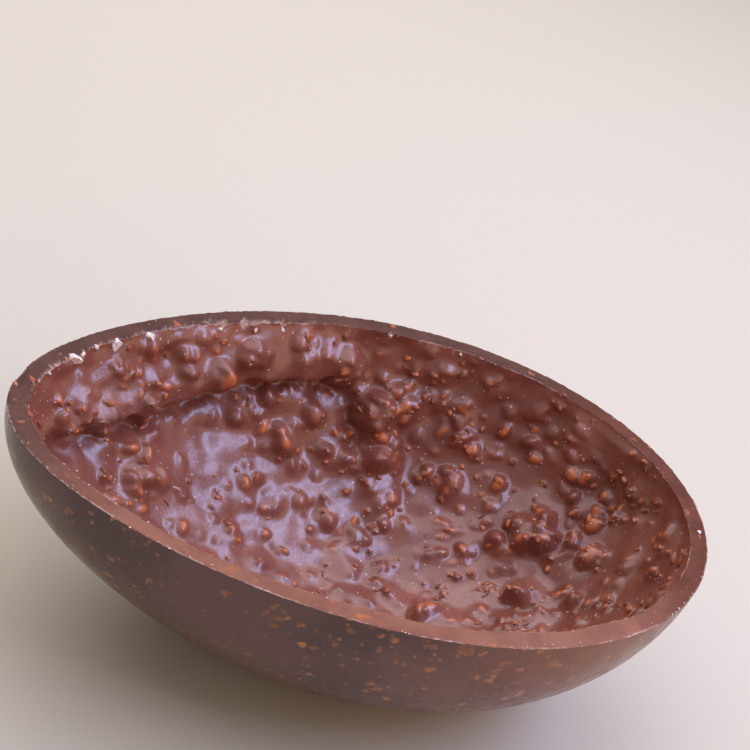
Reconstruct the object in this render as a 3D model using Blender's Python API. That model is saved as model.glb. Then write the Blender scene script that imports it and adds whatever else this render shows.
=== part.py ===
"""Half shell of a hollow milk chocolate egg with chopped nuts, lying cut side up.

The egg was moulded as two halves, and this is one of them: a smooth outer wall, a flat rim
where the halves met, and a rough lining of nut pieces under chocolate. Units are metres.
+X points to the blunt end, +Z is up. The origin is the middle of the box's bottom face, and
the shell rests there on a small flat spot.
"""

import math
import random

import bmesh
import bpy
from mathutils import Matrix, Vector

# The egg's outer form: its radius follows an ellipse that swells towards the blunt end.
HALF_LENGTH = 0.100
MIDDLE_RADIUS = 0.0652
BLUNTNESS = 0.156
END_SLIMNESS = 0.060

# The wall: thinnest at the rim, thicker where the liquid chocolate settled at the bottom.
RIM_WALL = 0.0053
FLOOR_WALL = 0.0085
FOOT_FLAT = 0.0010

# The fold: a roll of chocolate that slid down the +Y wall and set above the floor.
FOLD_START = -0.092
FOLD_END = 0.012
FOLD_FADE = 0.014
FOLD_DEPTH = 0.0165
FOLD_SAG = 0.0055
FOLD_SAG_CENTRE = -0.055
FOLD_SAG_SPREAD = 0.022
FOLD_HEIGHT = 0.0048
FOLD_LIP = 0.0045
FOLD_GROOVE = 0.0020
GROOVE_DEPTH = 0.0040
GROOVE_SPREAD = 0.0030

# Slow unevenness of the lining: height, and the length of one wave along the egg.
SWELL_HEIGHT = 0.0007
SWELL_LENGTH = 0.043

# Clumps of nuts: place along X, angle down from the +Y rim in degrees, spread, height.
CLUMPS = (
    (0.0210, 25.0, 0.0095, 0.0068),
    (0.0290, 21.0, 0.0085, 0.0052),
    (0.0235, 37.0, 0.0085, 0.0046),
    (0.0250, 48.0, 0.0080, 0.0040),
    (0.0050, 10.0, 0.0065, 0.0030),
    (-0.0270, 11.0, 0.0070, 0.0030),
    (-0.0370, 19.0, 0.0070, 0.0028),
    (-0.0740, 40.0, 0.0075, 0.0040),
    (-0.0560, 60.0, 0.0075, 0.0030),
    (-0.0090, 38.0, 0.0080, 0.0030),
    (0.0700, 62.0, 0.0095, 0.0060),
    (0.0650, 84.0, 0.0085, 0.0042),
    (0.0360, 92.0, 0.0080, 0.0040),
    (0.0470, 45.0, 0.0070, 0.0030),
    (0.0810, 48.0, 0.0070, 0.0034),
    (0.0120, 74.0, 0.0080, 0.0026),
    (-0.0300, 92.0, 0.0085, 0.0026),
    (0.0050, 118.0, 0.0085, 0.0030),
    (-0.0500, 126.0, 0.0080, 0.0030),
    (0.0560, 124.0, 0.0085, 0.0032),
    (0.0260, 150.0, 0.0075, 0.0028),
    (-0.0160, 152.0, 0.0075, 0.0028),
)

# Nut lumps all over the lining: how many, and the range of their spread and height.
LUMP_COUNT = 230
LUMP_SPREAD = (0.0060, 0.0105)
LUMP_HEIGHT = (0.0008, 0.0027)
LUMP_SEED = 11

OUTER_TURNS = 60
OUTER_RINGS = 40
LINING_TURNS = 106
LINING_RINGS = 62

CHOCOLATE_COLOUR = (0.105, 0.040, 0.026, 1.0)
CHOCOLATE_ROUGHNESS = 0.42


def egg_radius(along):
    """Radius of the outer wall at a fraction of the half length, from -1 to 1."""
    ellipse = math.sqrt(max(0.0, 1.0 - along * along))
    return MIDDLE_RADIUS * ellipse * (1.0 + BLUNTNESS * along - END_SLIMNESS * along * along)


def widest_radius():
    """Largest radius of the outer wall."""
    return max(egg_radius(step / 500.0) for step in range(-500, 501))


WIDEST_RADIUS = widest_radius()
RIM_HEIGHT = WIDEST_RADIUS - FOOT_FLAT


def ease(value, start, end):
    """Smooth step from 0 at start to 1 at end."""
    share = min(1.0, max(0.0, (value - start) / (end - start)))
    return share * share * (3.0 - 2.0 * share)


def wall_thickness(steepness):
    """Wall thickness from the rim (0) to the bottom (1)."""
    return RIM_WALL + (FLOOR_WALL - RIM_WALL) * ease(steepness, 0.0, 1.0)


def outer_point(unit):
    """Point of the outer wall in the direction of a point on the unit sphere."""
    ring = math.hypot(unit.y, unit.z)
    if ring < 1e-6:
        return Vector((unit.x * HALF_LENGTH, 0.0, RIM_HEIGHT))
    radius = egg_radius(unit.x)
    return Vector((unit.x * HALF_LENGTH, radius * unit.y / ring, RIM_HEIGHT + radius * unit.z / ring))


def lining_point(unit):
    """Point of the plain inner wall in the direction of a point on the unit sphere."""
    ring = max(math.hypot(unit.y, unit.z), 1e-6)
    wall = wall_thickness(max(0.0, -unit.z / ring))
    radius = egg_radius(unit.x) * (1.0 - wall / WIDEST_RADIUS)
    along = unit.x * (HALF_LENGTH - RIM_WALL)
    if ring < 1e-5:
        radius = 0.0
    return Vector((along, radius * unit.y / ring, RIM_HEIGHT + radius * unit.z / ring))


def clump_centre(along, angle):
    """Place on the plain inner wall at X and an angle down from the +Y rim."""
    across = math.sqrt(1.0 - (along / (HALF_LENGTH - RIM_WALL)) ** 2)
    turn = math.radians(angle)
    direction = Vector((
        along / (HALF_LENGTH - RIM_WALL),
        across * math.cos(turn),
        -across * math.sin(turn),
    ))
    return lining_point(direction)


def lump_places():
    """Lumps scattered over the whole lining, each with its own size."""
    chance = random.Random(LUMP_SEED)
    lumps = []
    for number in range(LUMP_COUNT):
        along = 1.0 - 2.0 * (number + 0.5) / LUMP_COUNT
        across = math.sqrt(1.0 - along * along)
        turn = chance.uniform(0.0, math.pi)
        centre = lining_point(Vector((along, across * math.cos(turn), -across * math.sin(turn))))
        lumps.append((centre, chance.uniform(*LUMP_SPREAD), chance.uniform(*LUMP_HEIGHT)))
    return lumps


def clump_height(point, clumps):
    """Height of the highest nut clump at a point of the lining."""
    height = 0.0
    for centre, spread, top in clumps:
        share = (point - centre).length / spread
        if share < 1.0:
            height = max(height, top * (1.0 - share * share) ** 2)
    return height


def fold_height(point):
    """Height of the roll of chocolate on the +Y wall, with the groove below it."""
    if point.y < 0.0:
        return 0.0
    reach = ease(point.x, FOLD_START, FOLD_START + FOLD_FADE)
    reach *= 1.0 - ease(point.x, FOLD_END - FOLD_FADE, FOLD_END)
    sag = (point.x - FOLD_SAG_CENTRE) / FOLD_SAG_SPREAD
    line = FOLD_DEPTH + FOLD_SAG * math.exp(-sag * sag)
    depth = RIM_HEIGHT - point.z
    swelling = ease(depth, 0.0, line)
    cut_off = 1.0 - ease(depth, line, line + FOLD_LIP)
    below = (depth - line - GROOVE_DEPTH) / GROOVE_SPREAD
    groove = FOLD_GROOVE * math.exp(-below * below)
    return reach * (FOLD_HEIGHT * swelling * cut_off - groove)


def swell_height(point):
    """Slow waves of the lining, which die out at the rim."""
    turn = 2.0 * math.pi / SWELL_LENGTH
    wave = math.sin(turn * point.x + 1.3) + math.sin(1.4 * turn * point.y + 0.6 * turn * point.x)
    return 0.5 * SWELL_HEIGHT * wave * ease(RIM_HEIGHT - point.z, 0.0, 0.010)


def egg_mesh(turns, rings, half_step):
    """Unit sphere with its poles on X, turned half a segment if asked."""
    mesh = bmesh.new()
    upright_to_x = Matrix.Rotation(math.radians(90.0), 4, "Y")
    about_x = Matrix.Rotation(math.pi / turns if half_step else 0.0, 4, "X")
    bmesh.ops.create_uvsphere(
        mesh, u_segments=turns, v_segments=rings, radius=1.0, matrix=about_x @ upright_to_x
    )
    return mesh


def finish_mesh(mesh, name, collection, smooth_angle=math.radians(35.0)):
    """Turn a bmesh into a smooth-shaded object of a collection."""
    data = bpy.data.meshes.new(name)
    mesh.to_mesh(data)
    mesh.free()
    data.shade_smooth()
    data.set_sharp_from_angle(angle=smooth_angle)
    thing = bpy.data.objects.new(name, data)
    collection.objects.link(thing)
    return thing


def cut_flat(mesh, height, upward):
    """Cut a closed bmesh level at a height and close the cut with one face."""
    normal = Vector((0.0, 0.0, 1.0 if upward else -1.0))
    everything = mesh.verts[:] + mesh.edges[:] + mesh.faces[:]
    cut = bmesh.ops.bisect_plane(
        mesh, geom=everything, dist=1e-7, plane_co=Vector((0.0, 0.0, height)), plane_no=normal,
        clear_outer=True,
    )
    border = [item for item in cut["geom_cut"] if isinstance(item, bmesh.types.BMEdge)]
    bmesh.ops.contextual_create(mesh, geom=border)


def make_wall(collection):
    """Solid outer half egg with its level rim and the flat spot that it rests on."""
    mesh = egg_mesh(OUTER_TURNS, OUTER_RINGS, half_step=False)
    for vertex in mesh.verts:
        vertex.co = outer_point(vertex.co)
    cut_flat(mesh, RIM_HEIGHT, upward=True)
    cut_flat(mesh, 0.0, upward=False)
    bmesh.ops.recalc_face_normals(mesh, faces=mesh.faces[:])
    return finish_mesh(mesh, "half_shell", collection)


def make_hollow(collection):
    """Cutter for the hollow, with the fold, the clumps and the swell of the lining."""
    clumps = [
        (clump_centre(along, angle), spread, top) for along, angle, spread, top in CLUMPS
    ]
    lumps = lump_places()
    mesh = egg_mesh(LINING_TURNS, LINING_RINGS, half_step=True)
    for vertex in mesh.verts:
        plain = lining_point(vertex.co)
        depth = RIM_HEIGHT - plain.z
        if depth > 0.0:
            fade = ease(depth, 0.0, LUMP_SPREAD[0])
            height = fold_height(plain) + swell_height(plain)
            height += clump_height(plain, clumps) + fade * clump_height(plain, lumps)
            inward = Vector((-0.4 * plain.x, -plain.y, depth)).normalized()
            plain = plain + inward * height
        vertex.co = plain
    cutter = finish_mesh(mesh, "hollow_cutter", collection)
    cutter.hide_render = True
    cutter.display_type = "WIRE"
    return cutter


def milk_chocolate():
    """Set milk chocolate: mid brown, with a satin gloss."""
    material = bpy.data.materials.new("milk_chocolate")
    material.use_nodes = True
    shader = material.node_tree.nodes["Principled BSDF"]
    shader.inputs["Base Color"].default_value = CHOCOLATE_COLOUR
    shader.inputs["Roughness"].default_value = CHOCOLATE_ROUGHNESS
    shader.inputs["Metallic"].default_value = 0.0
    return material


def hollow_out(solid, cutter):
    """Take the hollow out of the solid half egg."""
    cut = solid.modifiers.new("hollow", "BOOLEAN")
    cut.operation = "DIFFERENCE"
    cut.solver = "EXACT"
    cut.object = cutter


def new_collection(name):
    """Collection of that name in the scene."""
    collection = bpy.data.collections.new(name)
    bpy.context.scene.collection.children.link(collection)
    return collection


def main():
    for thing in list(bpy.data.objects):
        bpy.data.objects.remove(thing, do_unlink=True)
    parts = new_collection("half_chocolate_egg")
    cutters = new_collection("cutters")
    shell = make_wall(parts)
    shell.data.materials.append(milk_chocolate())
    hollow_out(shell, make_hollow(cutters))


main()
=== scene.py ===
# %% [markdown]
# # Half of a chocolate egg
#
# The real thing is one half of a hollow milk chocolate egg. Its outer wall took its shape
# and its gloss from a smooth mould. Its inside never touched a mould: chopped nuts sank
# into the liquid chocolate and set there as lumps under a thin, shiny coat.
#
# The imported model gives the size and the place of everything. We load it first, and we
# read every driving size from its box, so nothing here has to be fitted afterwards.

# %% Load the frame
import math

import bpy
import numpy as np
from mathutils import Matrix, Vector


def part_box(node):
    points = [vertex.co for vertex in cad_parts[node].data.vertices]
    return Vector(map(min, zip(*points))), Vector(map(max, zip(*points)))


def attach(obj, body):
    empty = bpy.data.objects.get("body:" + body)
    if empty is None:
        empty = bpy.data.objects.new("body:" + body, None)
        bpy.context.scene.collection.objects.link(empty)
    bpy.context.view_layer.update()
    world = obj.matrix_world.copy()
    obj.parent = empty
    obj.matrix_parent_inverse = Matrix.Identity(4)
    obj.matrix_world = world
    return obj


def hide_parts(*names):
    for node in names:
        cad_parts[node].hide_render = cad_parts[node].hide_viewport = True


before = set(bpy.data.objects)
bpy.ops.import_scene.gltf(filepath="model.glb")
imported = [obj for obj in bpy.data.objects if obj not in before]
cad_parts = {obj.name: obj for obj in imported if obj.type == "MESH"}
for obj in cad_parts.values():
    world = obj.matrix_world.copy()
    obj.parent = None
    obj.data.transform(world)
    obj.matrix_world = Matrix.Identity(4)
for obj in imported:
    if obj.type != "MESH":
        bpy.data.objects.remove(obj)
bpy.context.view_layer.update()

shell_low, shell_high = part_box("half_shell")

HALF_LENGTH = shell_high.x
WIDEST_RADIUS = shell_high.y
RIM_HEIGHT = shell_high.z
MM = 0.001
print("rim height", round(RIM_HEIGHT / MM, 1), "mm, half length", round(HALF_LENGTH / MM, 1), "mm")

# %% [markdown]
# ## The form of the egg
#
# Across its long axis the egg is round everywhere, so one radius for each place along the
# axis is enough. An ellipse gives the basic curve, a small slope makes one end blunter,
# and a small square term draws both tips in. The wall is thinnest at the rim and thicker
# at the bottom, where the liquid chocolate settled.

# %% Egg profile and wall
MIDDLE_RADIUS = 0.652 * HALF_LENGTH
BLUNTNESS = 0.156
END_SLIMNESS = 0.060
RIM_WALL = 0.053 * HALF_LENGTH
FLOOR_WALL = 0.085 * HALF_LENGTH


def egg_radius(along):
    """Outer radius at a fraction of the half length, from -1 to 1."""
    ellipse = np.sqrt(np.clip(1.0 - along * along, 0.0, None))
    return MIDDLE_RADIUS * ellipse * (1.0 + BLUNTNESS * along - END_SLIMNESS * along * along)


def ease(value, start, end):
    """Smooth step from 0 at start to 1 at end."""
    share = np.clip((value - start) / (end - start), 0.0, 1.0)
    return share * share * (3.0 - 2.0 * share)


def outer_points(turn_x, turn_ring):
    """Outer wall: turn_x runs from the blunt end to the tip, turn_ring down from the +Y rim."""
    along = np.cos(turn_x)
    radius = egg_radius(along)
    return np.stack([
        HALF_LENGTH * along + 0.0 * turn_ring,
        radius * np.cos(turn_ring),
        RIM_HEIGHT - radius * np.sin(turn_ring),
    ], axis=-1)


def lining_points(turn_x, turn_ring):
    """Plain inner wall, before any relief."""
    along = np.cos(turn_x)
    wall = RIM_WALL + (FLOOR_WALL - RIM_WALL) * ease(np.sin(turn_ring), 0.0, 1.0)
    radius = egg_radius(along) * (1.0 - wall / WIDEST_RADIUS)
    return np.stack([
        (HALF_LENGTH - RIM_WALL) * along + 0.0 * turn_ring,
        radius * np.cos(turn_ring),
        RIM_HEIGHT - radius * np.sin(turn_ring),
    ], axis=-1)


# %% Grid of the lining
ROWS = 720
RING_STEPS = 560
row_turn = np.linspace(0.0, math.pi, ROWS + 1)[:, None]
ring_turn = np.linspace(0.0, math.pi, RING_STEPS + 1)[None, :]
plain = lining_points(row_turn, ring_turn)

along_rows = np.gradient(plain, axis=0)
along_ring = np.gradient(plain, axis=1)
inward = np.cross(along_ring, along_rows)
length = np.linalg.norm(inward, axis=-1, keepdims=True)
inward = inward / np.maximum(length, 1e-12)
inward[0] = (-1.0, 0.0, 0.0)
inward[-1] = (1.0, 0.0, 0.0)
towards_axis = np.sum(inward * (np.array([0.0, 0.0, RIM_HEIGHT]) - plain), axis=-1, keepdims=True)
inward *= np.where(towards_axis < 0.0, -1.0, 1.0)
cell_area = length[..., 0]
depth = RIM_HEIGHT - plain[..., 2]
print("lining area", round(float(cell_area.sum()) / MM ** 2), "square mm")

# %% [markdown]
# ## The lining's slow forms
#
# Before the nuts come the forms that are larger than a nut: soft waves where the chocolate
# flowed, the fold, which is a roll that slid down the wall and set above the floor, and
# the places where nuts piled up.
#
# A height over the plain wall describes all of these. We work on a grid of numbers and
# move the mesh once at the end, as a sculptor's brush would, because no primitive has
# such a shape.

# %% Waves
rng = np.random.default_rng(2024)


def waves(points, count, shortest, longest):
    """Soft random relief, about -1 to 1: plane waves that run in all directions."""
    total = np.zeros(points.shape[:-1])
    for _ in range(count):
        direction = rng.normal(size=3)
        direction /= np.linalg.norm(direction)
        pitch = shortest * (longest / shortest) ** rng.random()
        total += np.sin(points @ (direction * 2.0 * math.pi / pitch) + rng.random() * 2.0 * math.pi)
    return total / math.sqrt(count)


near_rim = ease(depth, 0.0, 4.0 * MM)
near_tip = ease(np.sin(row_turn), 0.0, 0.05)
swell = 0.70 * MM * waves(plain, 18, 22 * MM, 50 * MM)
ripple = 0.50 * MM * waves(plain, 48, 8 * MM, 18 * MM)
dimple = 0.13 * MM * waves(plain, 60, 5 * MM, 9 * MM)
rim_wobble = 0.30 * MM * waves(plain[:, :1], 20, 14 * MM, 45 * MM)
rim_wobble += 0.10 * MM * waves(plain[:, :1], 30, 2 * MM, 6 * MM)

# %% The fold
FOLD_START, FOLD_END, FOLD_FADE = -92 * MM, 12 * MM, 14 * MM
FOLD_DEPTH, FOLD_SAG = 16.5 * MM, 5.5 * MM
FOLD_SAG_CENTRE, FOLD_SAG_SPREAD = -55 * MM, 22 * MM
FOLD_HEIGHT, FOLD_OVERHANG, FOLD_GROOVE = 4.8 * MM, 1.3 * MM, 2.9 * MM

x, y = plain[..., 0], plain[..., 1]
fold_reach = ease(x, FOLD_START, FOLD_START + FOLD_FADE)
fold_reach *= 1.0 - ease(x, FOLD_END - FOLD_FADE, FOLD_END)
fold_reach *= y > 0.0
fold_wander = 1.1 * MM * waves(plain * (1.0, 1.0, 0.0), 20, 6 * MM, 24 * MM)
fold_line = FOLD_DEPTH + FOLD_SAG * np.exp(-((x - FOLD_SAG_CENTRE) / FOLD_SAG_SPREAD) ** 2)
past_fold = depth - fold_line - fold_wander
fold = FOLD_HEIGHT * fold_reach * ease(depth, 0.0, 0.8 * fold_line)
fold *= 1.0 - ease(past_fold, -1.0 * MM, 1.4 * MM)
fold -= FOLD_GROOVE * fold_reach * np.exp(-((past_fold - 3.2 * MM) / (2.4 * MM)) ** 2)
fold_drop = FOLD_OVERHANG * fold_reach * ease(past_fold, -4.0 * MM, -0.6 * MM)
fold_drop *= 1.0 - ease(past_fold, -0.4 * MM, 1.2 * MM)

# %% Clumps
CLUMPS = (
    (21.0, 25.0, 9.5, 6.8), (29.0, 21.0, 8.5, 5.2), (23.5, 37.0, 8.5, 4.6), (25.0, 48.0, 8.0, 4.0),
    (5.0, 10.0, 6.5, 3.0), (-27.0, 11.0, 7.0, 3.0), (-37.0, 19.0, 7.0, 2.8), (-74.0, 40.0, 7.5, 4.0),
    (-56.0, 60.0, 7.5, 3.0), (-9.0, 38.0, 8.0, 3.0), (70.0, 62.0, 9.5, 6.0), (65.0, 84.0, 8.5, 4.2),
    (36.0, 92.0, 8.0, 4.0), (47.0, 45.0, 7.0, 3.0), (81.0, 48.0, 7.0, 3.4), (12.0, 74.0, 8.0, 2.6),
    (-30.0, 92.0, 8.5, 2.6), (5.0, 118.0, 8.5, 3.0), (-50.0, 126.0, 8.0, 3.0),
    (56.0, 124.0, 8.5, 3.2), (26.0, 150.0, 7.5, 2.8), (-16.0, 152.0, 7.5, 2.8),
)
CREVICE = ((5.0, 20.5), (9.0, 22.5), (11.5, 26.5), (12.5, 31.0), (13.5, 35.0))


def lining_spot(x_mm, angle):
    """Row and column of the grid at X in mm and an angle down from the +Y rim."""
    turn_x = math.acos(x_mm * MM / (HALF_LENGTH - RIM_WALL))
    return round(turn_x / math.pi * ROWS), round(angle / 180.0 * RING_STEPS)


def distance_from(row, column):
    """Distance of every point of the plain lining from one of them."""
    return np.linalg.norm(plain - plain[row, column], axis=-1)


clump = np.zeros_like(depth)
for x_mm, angle, spread, top in CLUMPS:
    share = np.clip(distance_from(*lining_spot(x_mm, angle)) / (spread * MM), 0.0, 1.0)
    clump = np.maximum(clump, top * MM * (1.0 - share * share) ** 2)
crevice = np.zeros_like(depth)
for x_mm, angle in CREVICE:
    away = distance_from(*lining_spot(x_mm, angle)) / (3.0 * MM)
    crevice = np.maximum(crevice, 3.0 * MM * np.exp(-away * away))
on_fold = fold_reach * (1.0 - ease(past_fold, -2.0 * MM, 0.0))
height = near_rim * (swell + (1.0 + 0.6 * on_fold) * ripple + (1.0 + 2.0 * on_fold) * dimple)
height += fold + 0.45 * clump - crevice
print("slow relief from", round(height.min() / MM, 2), "to", round(height.max() / MM, 2), "mm")

# %% [markdown]
# ## Nuts under the chocolate
#
# Each nut piece is a broken grain: a flat top, sloping shoulders and steep sides. Its top
# is worked out as the lowest of a few tilted planes, with the corners softened, since
# chocolate runs off the corners and fills the foot of the grain. A smooth maximum blends
# it into the floor with just such a fillet.
#
# Two numbers are kept for every point: its height, and how much nut shines through.

# %% Grains
SHOULDERS, SIDES = 4, 5


def smooth_max(low, high, blend):
    """The larger of two heights, with a fillet where they meet."""
    near = np.clip(1.0 - np.abs(low - high) / blend, 0.0, None)
    return np.maximum(low, high) + 0.25 * blend * near * near


def grain_planes():
    """Tilted planes of one broken grain: one on top, the rest as shoulders and sides."""
    tilt = np.radians(np.concatenate([
        rng.uniform(2, 25, 1), rng.uniform(30, 58, SHOULDERS), rng.uniform(66, 80, SIDES)
    ]))
    turn = np.concatenate([
        rng.uniform(0, 2 * math.pi, 1),
        np.arange(SHOULDERS) * 2 * math.pi / SHOULDERS + rng.uniform(-0.5, 0.5, SHOULDERS) + rng.uniform(0, 6),
        np.arange(SIDES) * 2 * math.pi / SIDES + rng.uniform(-0.4, 0.4, SIDES),
    ])
    sides = np.stack([np.sin(tilt) * np.cos(turn), np.sin(tilt) * np.sin(turn), np.cos(tilt)])
    reach = np.concatenate([np.ones(1), rng.uniform(0.85, 1.1, SHOULDERS + SIDES)])
    return sides, reach


def grain_top(across, up, softness):
    """Height of a grain, 1 at its middle, and how close each point is to a corner."""
    sides, reach = grain_planes()
    out = np.hypot(across, up)
    dome = 1.05 - 0.30 * out ** 2 - 0.42 * out ** 4
    flats = (reach - across[..., None] * sides[0] - up[..., None] * sides[1]) / sides[2]
    levels = np.concatenate([flats, dome[..., None]], axis=-1)
    lowest = levels.min(axis=-1)
    rounding = softness * np.log(np.exp((lowest[..., None] - levels) / softness).sum(axis=-1))
    top = lowest - rounding
    return top + 1.0 - top.max(), np.clip(rounding / (0.9 * softness), 0.0, 1.0)


nut_show = np.zeros_like(depth)


def add_grain(row, column, half_size, stretch, rise, softness, blend, show, skirt=0.45, lean=None):
    """Raise one grain at a grid point.

    skirt is the share of its rise that the chocolate climbs around it, and lean turns its
    long side from X, in degrees.
    """
    centre, normal = plain[row, column], inward[row, column]
    reach = (3.2 if skirt else 2.1) * half_size * stretch
    row_gap = np.linalg.norm(plain[min(row + 1, ROWS), column] - plain[row - 1, column]) / 2
    ring_gap = max(egg_radius(math.cos(row_turn[row, 0])) * math.pi / RING_STEPS, 0.05 * MM)
    tall, wide = int(reach / row_gap) + 1, int(reach / ring_gap) + 1
    rows = slice(max(row - tall, 1), min(row + tall + 1, ROWS))
    ring = slice(max(column - wide, 0), min(column + wide + 1, RING_STEPS + 1))
    away = plain[rows, ring] - centre
    side = np.cross(normal, rng.normal(size=3))
    if lean is not None:
        down = np.array([0.0, normal[2], -normal[1]])
        side = math.cos(math.radians(lean)) * np.array([1.0, 0.0, 0.0]) + math.sin(math.radians(lean)) * down
        side -= normal * (side @ normal)
    side /= np.linalg.norm(side)
    other = np.cross(normal, side)
    top, corner = grain_top(away @ side / (half_size * stretch), away @ other / half_size, softness)
    out = np.linalg.norm(away, axis=-1) / (1.5 * half_size * stretch)
    height[rows, ring] += skirt * rise * near_rim[rows, ring] * np.exp(-out * out)
    base = height[row, column]
    level = base + 0.8 * half_size * (top - 1.0) + rise
    old = height[rows, ring]
    cover = ease(level - old, -0.2 * blend, 0.8 * blend)
    tip = ease(level - base, 0.2 * rise, 0.9 * rise)
    height[rows, ring] = smooth_max(old, level, blend)
    shine = show * tip * (0.10 + 0.90 * corner ** 1.5)
    nut_show[rows, ring] = nut_show[rows, ring] * (1.0 - cover) + shine * cover


# %% Marked nuts
# Place in mm along X, degrees down from the +Y rim, half size in mm, stretch, rise in mm,
# show, and the turn of the long side from X in degrees.
MARKED_NUTS = (
    (19.5, 25.0, 3.4, 1.5, 3.4, 0.0, 70), (7.0, 13.5, 4.6, 1.15, 2.6, 0.0, 60), (5.8, 8.6, 2.2, 1.0, 1.8, 0.3, 0),
    (24.3, 17.2, 1.8, 1.2, 1.8, 0.4, 30), (27.2, 20.9, 1.9, 1.3, 2.2, 0.6, 60), (28.0, 25.1, 1.9, 1.2, 2.0, 0.5, 90),
    (21.7, 31.7, 1.8, 1.5, 2.0, 0.8, 150), (26.4, 33.7, 2.1, 1.0, 2.2, 0.2, 0), (21.1, 39.2, 2.7, 1.3, 2.4, 0.2, 90),
    (28.3, 40.2, 1.6, 1.4, 1.3, 0.4, 60), (-25.8, 32.4, 2.3, 1.1, 1.7, 0.0, 0), (-15.9, 25.5, 2.2, 1.1, 2.0, 0.0, 0),
    (-0.7, 28.2, 2.7, 1.2, 2.4, 0.3, 120), (-16.5, 34.1, 1.6, 1.6, 1.7, 0.8, 70), (-8.4, 39.2, 2.8, 1.15, 2.0, 0.1, 45),
    (5.1, 38.5, 2.3, 1.2, 1.8, 0.1, 0), (-12.0, 6.3, 2.0, 1.1, 1.8, 0.1, 90), (-25.6, 8.8, 2.2, 1.3, 1.9, 0.1, 130),
    (-37.0, 18.0, 1.8, 1.3, 2.0, 0.5, 60), (19.3, 14.4, 1.6, 1.1, 1.4, 0.3, 0), (41.2, 27.0, 1.8, 1.4, 1.6, 0.5, 60),
    (37.5, 7.7, 1.8, 1.7, 1.4, 0.2, 0), (35.2, 16.0, 1.6, 1.1, 1.3, 0.2, 0), (46.3, 16.4, 1.6, 1.1, 1.4, 0.3, 0),
    (51.3, 31.7, 1.9, 1.4, 1.9, 0.7, 80), (69.1, 62.8, 4.8, 1.1, 2.4, 0.1, 0), (78.2, 33.0, 2.0, 1.2, 1.9, 0.7, 120),
    (81.1, 33.7, 1.4, 1.5, 1.6, 0.8, 60), (83.5, 60.6, 2.5, 1.2, 2.4, 0.7, 30), (78.7, 69.3, 2.1, 1.1, 1.9, 0.2, 0),
    (68.7, 29.8, 1.5, 1.6, 1.4, 0.8, 0), (59.5, 42.5, 1.7, 1.4, 1.6, 0.7, 45), (59.4, 63.3, 2.1, 1.2, 1.6, 0.2, 90),
    (81.7, 79.7, 3.0, 1.4, 2.6, 0.6, 20), (39.0, 40.0, 1.6, 1.2, 1.3, 0.5, 0), (46.7, 43.9, 2.1, 1.2, 1.8, 0.4, 45),
    (35.9, 90.4, 2.6, 1.2, 1.5, 0.5, 0), (-2.0, 54.9, 2.1, 1.2, 1.6, 0.3, 60), (7.9, 59.9, 1.7, 1.3, 1.4, 0.4, 100),
    (72.5, 58.0, 2.0, 1.1, 1.6, 0.3, 0), (66.0, 67.0, 1.9, 1.1, 1.7, 0.6, 0), (65.5, 58.5, 2.2, 1.2, 1.5, 0.2, 40),
    (73.0, 67.0, 1.8, 1.3, 1.5, 0.5, 90), (-69.6, 13.6, 1.8, 1.1, 1.6, 0.2, 0), (-62.6, 16.1, 1.1, 1.3, 1.2, 0.7, 60),
    (-58.9, 6.5, 1.7, 1.4, 1.6, 0.4, 90), (-45.4, 10.4, 1.2, 1.5, 1.3, 0.6, 70), (-48.7, 9.9, 1.1, 1.5, 1.2, 0.4, 80),
    (-46.6, 16.6, 2.0, 1.1, 1.6, 0.1, 0), (-52.8, 22.1, 1.4, 1.7, 1.2, 0.7, 10),
    (-62.2, 25.4, 1.1, 1.5, 1.2, 0.7, 80), (-86.9, 27.7, 1.2, 1.6, 1.2, 0.6, 40), (-84.8, 42.0, 2.0, 1.1, 1.8, 0.3, 0),
    (-58.2, 29.3, 2.2, 1.1, 1.7, 0.2, 0), (-55.0, 60.2, 2.3, 1.1, 2.0, 0.2, 0), (-49.0, 57.8, 2.0, 1.7, 1.8, 0.3, 95),
    (-54.6, 50.3, 1.2, 1.9, 1.5, 0.7, 100), (-59.5, 49.1, 1.2, 1.7, 1.4, 0.8, 20), (-67.2, 65.2, 1.8, 1.4, 1.0, 0.1, 50),
    (-63.4, 75.4, 1.6, 1.7, 1.4, 0.5, 10), (-41.9, 50.3, 2.2, 1.5, 1.2, 0.0, 100), (-40.8, 73.4, 1.2, 1.7, 1.4, 0.8, 80),
    (-21.0, 52.7, 1.1, 1.8, 1.4, 0.8, 100), (-25.0, 69.5, 1.2, 1.4, 1.3, 0.6, 90),
)
for x_mm, angle, half, stretch, rise, show, lean in MARKED_NUTS:
    softness = 0.12 + 0.09 * half
    add_grain(
        *lining_spot(x_mm, angle), half * MM, stretch, rise * MM, softness, 0.8 * MM, show, lean=lean
    )


# %% Nuts round each clump
def near_spot(row, column, radius):
    """Grid point at a random place within a radius of another."""
    turn, out = rng.uniform(0.0, 2.0 * math.pi), radius * math.sqrt(rng.random())
    ring_gap = egg_radius(math.cos(row_turn[row, 0])) * math.pi / RING_STEPS
    row_gap = np.linalg.norm(plain[row + 1, column] - plain[row, column])
    new_row = int(np.clip(row + out * math.sin(turn) / row_gap, 4, ROWS - 4))
    new_column = int(np.clip(column + out * math.cos(turn) / ring_gap, 6, RING_STEPS - 6))
    return new_row, new_column


for x_mm, angle, spread, top in CLUMPS:
    row, column = lining_spot(x_mm, angle)
    for _ in range(int(0.7 * top) + 1):
        spot = near_spot(row, column, 0.8 * spread * MM)
        size = rng.uniform(0.9, 1.9) * MM
        add_grain(*spot, size, rng.uniform(1.0, 1.5), 0.7 * size, 0.3, 0.8 * MM, rng.choice([0.0, 0.7]))

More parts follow.
